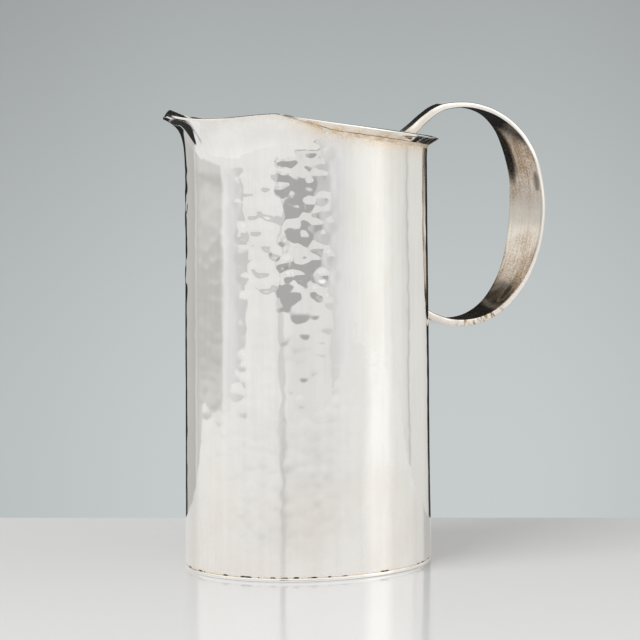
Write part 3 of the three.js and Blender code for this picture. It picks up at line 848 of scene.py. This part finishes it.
def strap_section(place):
    """Points of a flat bar with rounded edges, the direction in which each faces, and the bar's own."""
    middle, forward = route_at(place), route_way(place)
    outward = np.array([-forward[2], 0, forward[0]])
    across, thick = along_strap(STRAP_WIDTHS, place) / 2, along_strap(STRAP_THICKS, place)
    s = place * STRAP_LENGTH
    side = ring_place * (across - STRAP_EDGE) + STRAP_EDGE * ring_side
    rise = np.where(ring_outer, thick - STRAP_EDGE, STRAP_EDGE) + STRAP_EDGE * ring_out
    facing = outward * ring_out[:, None] + points(0, ring_side, 0)
    sunk = strap_marks(np.where(ring_outer, s, s + STRAP_LENGTH + FACES_APART), side + STRAP_SHEET / 2)
    sunk = sunk * np.abs(ring_out) + SIDE_SWELL * strap_swell(s, side) * np.abs(ring_side)
    sunk = sunk * ease(min(place, 1 - place), 0.0, QUIET_END)
    spots = middle + outward * rise[:, None] + points(0, side, 0) - facing * sunk[:, None]
    return spots, facing, forward


def slide_to(spots, way, stop):
    """How far each point has to go along a direction to reach a stop."""
    moved = spots.copy()
    for _ in range(SLIDE_ROUNDS):
        moved = moved + way * ((stop(moved) - moved[..., 0]) / way[0])[..., None]
    return (moved - spots) @ way


def at_wall(spots):
    return wall_back(spots[..., 1], spots[..., 2]) + JOINT_GAP


lap_spots, _, lap_way = strap_section(0.0)
foot_spots, _, foot_way = strap_section(1.0)
lap_slides = slide_to(lap_spots, lap_way, lambda spots: lap_start[0])
foot_slides = slide_to(foot_spots, foot_way, lambda spots: wall_back(0, spots[..., 2]) + JOINT_GAP)


def cut_section(place):
    """Section whose points are slid near the ends, so that the strap ends at the mouth and on the wall."""
    spots, facing, forward = strap_section(place)
    lap_share = max(1 - place / END_SHARE, 0)
    foot_share = max(1 - (1 - place) / END_SHARE, 0)
    return spots + forward * (lap_slides * lap_share + foot_slides * foot_share)[:, None], facing, forward


places = np.linspace(0, 1, STRAP_STEPS + 1)
strap_grid, strap_facing, _ = (np.array(part) for part in zip(*map(cut_section, places)))
strap_out = np.cross(np.gradient(strap_grid.mean(1), axis=0), np.array([0, 1, 0]))
strap_place = places[:, None] * np.ones(strap_grid.shape[1])
strap_s, strap_y, strap_z = strap_place * STRAP_LENGTH, strap_grid[..., 1], strap_grid[..., 2]
blotch = swells(SEED + 10, 9, STRAP_LENGTH, 60, 14)(strap_s, strap_y)

# Brown film on the inner face: places along the strap and its thickness there, with streaks and blotches.
FILM_PLACES = [0.30, 0.415, 0.464, 0.51, 0.56, 0.61, 0.66, 0.73]
FILM_AMOUNTS = [0.60, 0.58, 0.44, 0.22, 0.25, 0.48, 0.56, 0.56]
STREAK_FILM, BLOTCH_FILM = 0.05, 0.08
inner_face = ease(-np.einsum("ijk,ik->ij", strap_facing, unit(strap_out)), 0.3, 0.9)
streak = ease(swells(SEED + 12, 7, 40, 12, 2)(strap_y, 0.02 * strap_s), 0.35, 0.7)
film = np.interp(strap_place, FILM_PLACES, FILM_AMOUNTS)
film = film + STREAK_FILM * streak + BLOTCH_FILM * ease(blotch, 0.5, 0.75)

# Film on the near edge, thicker at both ends and with specks lower down, and at the joints.
EDGE_FILM, LAP_EDGE_FILM, FOOT_EDGE_FILM, ALL_FILM = 0.08, 0.12, 0.16, 0.06
LAP_REACH, FOOT_REACH, JOINT_FILM, JOINT_SOOT = 5, 4, 0.3, 0.1
SPECK_START, SPECK_END, SPECK_FILM, STRAP_FILM = (0.70, 0.76), (0.82, 0.88), 0.9, 0.65
near_edge = EDGE_FILM + LAP_EDGE_FILM * fade(strap_place, 0.08, 0.14)
near_edge = near_edge + FOOT_EDGE_FILM * ease(strap_place, 0.7, 0.8)
near_edge = near_edge * ease(-strap_facing[..., 1], 0.5, 0.9)
specks = ease(swells(SEED + 13, 19, STRAP_LENGTH, 9, 2)(strap_s, strap_z), 0.52, 0.64)
specks = specks * within(strap_place, SPECK_START, SPECK_END)
ends = np.exp(-strap_s / LAP_REACH) + np.exp((strap_s - STRAP_LENGTH) / FOOT_REACH)
strap_film = film * inner_face + near_edge + ALL_FILM + SPECK_FILM * specks + JOINT_FILM * ends

# Painted shade on the inner face towards both ends, black like soot, and soot in stains.
# Each stain is a place along the strap, a distance to the side, a length, a width and a strength.
STAINS = [(0.35, 8.0, 52.0, 11.0, 1.0), (0.445, -8.5, 11.0, 4.5, 0.6), (0.70, -3.5, 13.0, 5.0, 0.9)]
STAIN_RAGGED, DARK_RAGGED, LAP_PAINTED_SHADE, MOST_SOOT_AND_SHADE = 0.4, 0.08, 1.15, 1.2
ragged_place = strap_place + DARK_RAGGED * (blotch - 0.5)
# Painted shade near the lap end and towards the foot, with a ragged edge.
shade_and_stains = np.maximum(LAP_PAINTED_SHADE * fade(ragged_place, 0.28, 0.385), ease(ragged_place, 0.72, 0.76))
for place, side, length, width, strength in STAINS:
    along = (strap_place - place) * STRAP_LENGTH / (length / 2)
    aside = (strap_y - side) / (width / 2)
    reach = np.hypot(along, aside) + STAIN_RAGGED * (blotch - 0.5)
    shade_and_stains = np.maximum(shade_and_stains, strength * fade(reach, 0.6, 1.1))
make(
    "forged_handle", strap_grid, forged_look, "handle_strap", "silver_forged",
    tarnish=np.clip(STRAP_FILM * strap_film, 0, 1),
    soot=np.clip(JOINT_SOOT * ends + shade_and_stains * inner_face, 0, MOST_SOOT_AND_SHADE),
)

# Solder at the handle's foot: a rounded, lumpy fillet round the strap on the wall.
FOOT_LUMPS, FOOT_UNEVEN, FOOT_HOLLOW, FOOT_SOOT = 5, 0.2, 0.35, 0.6
foot_spots, foot_facing, foot_way = cut_section(1.0)
start_spots, start_facing, _ = cut_section(1 - FOOT_FILLET / STRAP_LENGTH)
foot_turn = np.linspace(0, 2 * math.pi, len(foot_spots), endpoint=False)
foot_size = FOOT_FILLET * (1 - FOOT_UNEVEN + FOOT_UNEVEN * np.cos(FOOT_LUMPS * foot_turn))
near = foot_spots + foot_facing * JOINT_GAP
far = near + foot_facing * foot_size[:, None]
near = near + foot_way * slide_to(near, foot_way, at_wall)[:, None]
far = far + foot_way * slide_to(far, foot_way, at_wall)[:, None]
high = start_spots + start_facing * JOINT_GAP
bulge = lerp((far + high) / 2, (near + far + high) / 3, FOOT_HOLLOW)
foot_grid = np.stack([near, far, bulge, high], 1)
make("foot_seam", foot_grid, solder_look, "handle_foot_solder", "solder", wrap_rows=True, soot=FOOT_SOOT)

# Solder under the handle's lap, against the edge of the rim strip.
LAP_STEPS, LAP_THINNING, LAP_HOLLOW, LAP_SEAM_SOOT = 16, 0.35, 0.25, 0.5
lap_slope = unit(lap_end - lap_start)
sides = np.linspace(-0.5, 0.5, LAP_STEPS + 1) * STRAP_WIDTHS[0]
corner = points(lap_end[0], sides, lap_end[2]) + lap_slope * JOINT_GAP
corner[:, 0] += 2 * JOINT_GAP * SLOPE_SIN - (wall_back(0, RIM_BACK) - wall_back(sides, RIM_BACK))
corner[:, 2] -= 2 * JOINT_GAP * SLOPE_COS
thin = 1 - LAP_THINNING * (2 * np.abs(sides) / STRAP_WIDTHS[0]) ** 2
under_lap = corner + lap_slope * LAP_FILLET * thin[:, None]
below_way = np.array([SLOPE_SIN, 0, -SLOPE_COS])
below = corner + below_way * LAP_FILLET_DEPTH * thin[:, None]
lap_grid = np.stack([corner, under_lap, lerp(lerp(under_lap, below, 0.5), corner, LAP_HOLLOW), below], 1)
make("lap_seam", lap_grid, solder_look, "handle_lap_solder", "solder", soot=LAP_SEAM_SOOT)

# Camera, at the photograph's angle.
CAMERA_PLACE = (-0.88628, -1.05623, 0.24071)
CAMERA_YAW, CAMERA_PITCH = math.radians(40.2011), math.radians(5.40642)
camera = add_object("camera", bpy.data.cameras.new("camera"))
camera.location = CAMERA_PLACE
camera.rotation_euler = (math.pi / 2 - CAMERA_PITCH, 0, -CAMERA_YAW)
camera.data.lens = 172.21
camera.data.sensor_width = 36
camera.data.clip_start = 0.01
bpy.context.scene.camera = camera

# Table: a pale glossy slab, square to the camera, in metres. Its colour grows paler towards the camera's
# side, a painted falloff of light, and for glossy rays a painted white glow lies on it near the jug, which
# the metal mirrors.
TABLE_LEVELS, TABLE_ENDS, TABLE_SIDES, TABLE_BEVEL = (-0.03, -0.0002), (-0.62, 0.127), (-0.6, 1.0), 0.002
TABLE_TONES, TABLE_LIGHT_FALLOFF, TABLE_CLOUD, TABLE_POLISH = (0.81, 0.91), (-0.08, 0.22), 0.04, (0.10, 0.14)
SHEEN_REACH, SHEEN = (0.06, 0.26), 0.32
away = np.array([math.sin(CAMERA_YAW), math.cos(CAMERA_YAW), 0])
right = np.array([math.cos(CAMERA_YAW), -math.sin(CAMERA_YAW), 0])


def table_material():
    material, n, where = new_material("pale_table")
    near = n.dot(where, -away)
    cloud = n.times(n.minus(n.noise(where, scale=9), 0.5), TABLE_CLOUD)
    # Painted falloff of light: the colour grows paler towards the camera's side.
    pale = n.plus(n.spread(near, *TABLE_LIGHT_FALLOFF), cloud)
    shader = n.add("BsdfPrincipled", {
        "Base Color": n.mix(pale, (TABLE_TONES[0],) * 3, (TABLE_TONES[1],) * 3),
        "Roughness": n.spread(n.noise(where, scale=60), *POLISH_RANGE, *TABLE_POLISH),
        "Specular IOR Level": 0.15,
    })
    painted_glow = n.add("Emission")
    # Painted glow: glossy rays see a white emission near the jug.
    mirrored = n.times(n.add("LightPath", out="Is Glossy Ray"), n.spread(near, *SHEEN_REACH, SHEEN, 0.0))
    n.add("OutputMaterial", {"Surface": n.add("MixShader", {0: mirrored, 1: shader, 2: painted_glow})})
    return material


def slab():
    work = bmesh.new()
    corners = [
        work.verts.new(away * back + right * side + np.array([0, 0, level]))
        for level, back, side in itertools.product(TABLE_LEVELS, TABLE_ENDS, TABLE_SIDES)
    ]
    for ring in ((2, 3, 1, 0), (4, 5, 7, 6), (0, 1, 5, 4), (1, 3, 7, 5), (3, 2, 6, 7), (2, 0, 4, 6)):
        work.faces.new([corners[i] for i in ring])
    bmesh.ops.recalc_face_normals(work, faces=work.faces)
    bmesh.ops.bevel(work, geom=list(work.edges), offset=TABLE_BEVEL, segments=3, profile=0.5, affect="EDGES")
    mesh = bpy.data.meshes.new("table")
    work.to_mesh(mesh)
    work.free()
    mesh.materials.append(table_material())
    return add_object("table", mesh)


table = slab()

# Studio: what the metal mirrors, by direction from the camera's side, and the grey backdrop behind the jug.
# Each pair is a bearing in degrees, to the right of the camera's direction, and a brightness.
STUDIO = [
    (-180, 0.55), (-150, 0.52), (-126, 0.50), (-123, 0.72), (-120, 0.56), (-112, 0.66), (-74, 0.67),
    (-70, 0.85), (-63, 0.77), (-54, 0.73), (-47, 0.65), (-42, 0.62), (-5, 0.62), (-3, 0.30), (1, 0.30),
    (3, 0.56), (29, 0.56), (36, 0.63), (41, 0.69), (46, 0.74), (52, 0.79), (60, 0.84), (70, 0.90), (80, 0.98),
    (86, 0.98), (88, 0.90), (93, 0.88), (95, 0.82), (104, 0.79), (110, 0.74), (113.5, 0.72), (115, 0.48),
    (117, 0.75), (140, 0.74), (160, 0.62), (180, 0.55),
]
# Things in the room, in degrees. A patch has bearings and heights, each from, to and softness, and a tone.
# BEARINGS are alike, an EDGE is an angle and its softness, and over a TURN one value becomes another.
BLACK = 0.02
FLOOR_PATCH = (-122, -72, 5), (-6.4, -4, 1.2), 0.54
GREY_PATCH = (-4, 29, 1), (-40, 5, 1), 0.42
FLAG_PATCH = (157, 175, 1.5), (-29, 1, 1), BLACK
CARD_BEARINGS = (-41, 40, 1)
CARD_TOPS, CARD_TOP_TURN, CARD_TOP_SOFT = (0.6, -4.35), (-13, -4), 0.4
CARD_FEET, CARD_FOOT_TURN, CARD_FOOT_SOFT = (-40, -12.5), (-11, -2), 0.6
CARD_TONES, CARD_TONE_TURN = (0.82, 0.77), (-4, 12)
# Gap between the two front cards, in which the camera stands.
GAP_BEARINGS, GAP_EDGE, GAP_LOW_TONE, GAP_HIGH_TONE = (-5.4, -0.6, 0.8), (18, 2), 0.68, 0.28
# Light overhead, from the front's top upwards, with a bright window to the right.
FRONT_EDGE, OVERHEAD = (8, 4), 1
WINDOW_BEARINGS, WINDOW_EDGE = (70, 92, 6), (2.5, 1.5)
WINDOW_TONES, WINDOW_RAMP = (1.25, 1.6), (6, 9)
# Darkness overhead behind the jug, which comes lower on one side.
BACK_EDGE = (122, 6)
BACK_TOPS, BACK_TURN, BACK_TOP_SOFT = (33, 16), (125, 155), 1
DARK_BEARINGS, DARK_TOP = (138, 168, 3), 5
# Top of the pale floor past the table: bearing and height.
LOW_LINE = [
    (-180, -14), (-118, -16), (-106, -12), (-90, -12), (-72, -10), (-57, -8), (-45, -6.5), (-30, -5.5),
    (-14, -6), (-3, -9), (7, -12), (15, -14), (27, -16), (40, -14), (180, -14),
]
LOW_DEPTH, LOW_SOFT, LOW_TONE = 20, 0.8, 0.84
LOW_BACK_TURN, LOW_BACK_HEIGHTS, LOW_BACK_TONE = (115, 128), (-36, -31), 0.55
# Tints of the light: red and blue of the cool part, and blue of the pale things and of the rest.
COOL_BEARINGS, COOL_RED, COOL_BLUE, PALE_BLUE, WARM_BLUE = (-72, 56, 5), 0.995, 1.025, 1.01, 0.98
BACKDROP_LOW, BACKDROP_HIGH, BACKDROP_HEIGHTS = (0.568, 0.602, 0.604), (0.315, 0.335, 0.342), (-8.5, 6)
BACKDROP_MIDDLE, BACKDROP_SIDES, BACKDROP_DIM = 179.2, (2.5, 8), 0.14
ROOM_LIGHT = 0.53


def studio():
    world = bpy.data.worlds.new("studio")
    bpy.context.scene.world = world
    world.use_nodes = True
    n = Nodes(world.node_tree)
    way = n.add("TexCoord", out="Generated")
    side, front, up = n.dot(way, right), n.dot(way, -away), n.dot(way, (0, 0, 1))
    bearing = n.math("DEGREES", n.math("ARCTAN2", side, front))
    height = n.math("DEGREES", n.math("ARCSINE", up))
    share = n.plus(n.math("DIVIDE", bearing, 360.0), 0.5)
    off = n.math("ABSOLUTE", bearing)

    def round_room(pairs):
        """A value between 0 and 1 by bearing."""
        curve = n.add("FloatCurve", {"Value": share})
        line = curve.node.mapping.curves[0]
        line.points[0].location, line.points[-1].location = (0, pairs[0][1]), (1, pairs[-1][1])
        for angle, value in pairs[1:-1]:
            line.points.new(angle / 360 + 0.5, value)
        for point in line.points:
            point.handle_type = "VECTOR"
        curve.node.mapping.update()
        return curve

    def above(value, edge, soft):
        return n.spread(value, edge - soft, edge + soft)

    def below(value, edge, soft):
        return n.spread(value, edge - soft, edge + soft, 1.0, 0.0)

    def band(value, low, high, soft):
        return n.times(above(value, low, soft), below(value, high, soft))

    def patch(tone, across, bearings, heights, patch_tone):
        return n.between(n.times(band(across, *bearings), band(height, *heights)), tone, patch_tone)

    tone = round_room(STUDIO)
    tone = patch(tone, bearing, *FLOOR_PATCH)
    tone = patch(tone, bearing, *GREY_PATCH)

    card_top = n.spread(bearing, *CARD_TOP_TURN, *CARD_TOPS)
    card_foot = n.spread(bearing, *CARD_FOOT_TURN, *CARD_FEET)
    card = n.times(band(bearing, *CARD_BEARINGS), below(n.minus(height, card_top), 0.0, CARD_TOP_SOFT))
    card = n.times(card, above(n.minus(height, card_foot), 0.0, CARD_FOOT_SOFT))
    tone = n.between(card, tone, n.spread(bearing, *CARD_TONE_TURN, *CARD_TONES))
    gap = n.times(band(bearing, *GAP_BEARINGS), below(height, *GAP_EDGE))
    tone = n.between(n.times(gap, card), tone, GAP_LOW_TONE)

    low_edge = round_room([(angle, 1 + edge / LOW_DEPTH) for angle, edge in LOW_LINE])
    low_edge = n.times(n.minus(low_edge, 1.0), LOW_DEPTH)
    low = below(n.minus(height, low_edge), 0.0, LOW_SOFT)
    low_back = n.times(n.spread(off, *LOW_BACK_TURN), n.spread(height, *LOW_BACK_HEIGHTS))
    tone = n.between(low, tone, n.between(low_back, LOW_TONE, LOW_BACK_TONE))
    tone = patch(tone, off, *FLAG_PATCH)

    window = band(bearing, *WINDOW_BEARINGS)
    over_front = n.between(window, above(height, *FRONT_EDGE), above(height, *WINDOW_EDGE))
    overhead = n.between(window, OVERHEAD, n.spread(height, *WINDOW_RAMP, *WINDOW_TONES))
    overhead = n.between(gap, overhead, GAP_HIGH_TONE)
    back_top = n.spread(off, *BACK_TURN, *BACK_TOPS)
    back_top = n.between(band(bearing, *DARK_BEARINGS), back_top, DARK_TOP)
    over_back = above(n.minus(height, back_top), 0.0, BACK_TOP_SOFT)
    behind = above(off, *BACK_EDGE)
    tone = n.between(n.between(behind, over_front, over_back), tone, n.between(behind, overhead, BLACK))

    pale = n.math("MAXIMUM", card, low)
    cool = n.times(band(bearing, *COOL_BEARINGS), n.minus(1.0, pale))
    mirrored = n.add("CombineColor", {
        0: n.times(tone, n.between(cool, 1.0, COOL_RED)),
        1: tone,
        2: n.times(tone, n.between(cool, n.between(pale, WARM_BLUE, PALE_BLUE), COOL_BLUE)),
    })
    backdrop = n.mix(n.spread(height, *BACKDROP_HEIGHTS), BACKDROP_LOW, BACKDROP_HIGH)
    full_bearing = n.math("MODULO", n.plus(bearing, 360.0), 360.0)
    aside = n.spread(n.math("ABSOLUTE", n.minus(BACKDROP_MIDDLE, full_bearing)), *BACKDROP_SIDES)
    backdrop = n.mix(n.times(aside, BACKDROP_DIM), backdrop, (0.0, 0.0, 0.0))
    room = n.mix(n.add("LightPath", out="Is Glossy Ray"), (ROOM_LIGHT,) * 3, mirrored)
    seen = n.mix(n.add("LightPath", out="Is Camera Ray"), room, backdrop)
    n.add("OutputWorld", {"Surface": n.add("Background", {"Color": seen})})


studio()

# Key lamp: soft, square and facing the jug. Its brightness is what a mirror would show.
KEY_BEARING, KEY_HEIGHT = math.radians(-44), math.radians(44)
KEY_DISTANCE, KEY_WIDTH, KEY_BRIGHTNESS = 4.0, 2.25, 5.2
key_level = right * math.sin(KEY_BEARING) - away * math.cos(KEY_BEARING)
key_place = (key_level * math.cos(KEY_HEIGHT) + np.array([0, 0, math.sin(KEY_HEIGHT)])) * KEY_DISTANCE
key = add_object("key", bpy.data.lights.new("key", "AREA"))
key.location = key_place
key.rotation_euler = Vector(-key_place).to_track_quat("-Z", "Y").to_euler()
key.visible_glossy = False
key.data.shape = "SQUARE"
key.data.size = KEY_WIDTH
key.data.energy = KEY_BRIGHTNESS * math.pi * KEY_WIDTH ** 2

bpy.context.scene.view_settings.view_transform = "Standard"
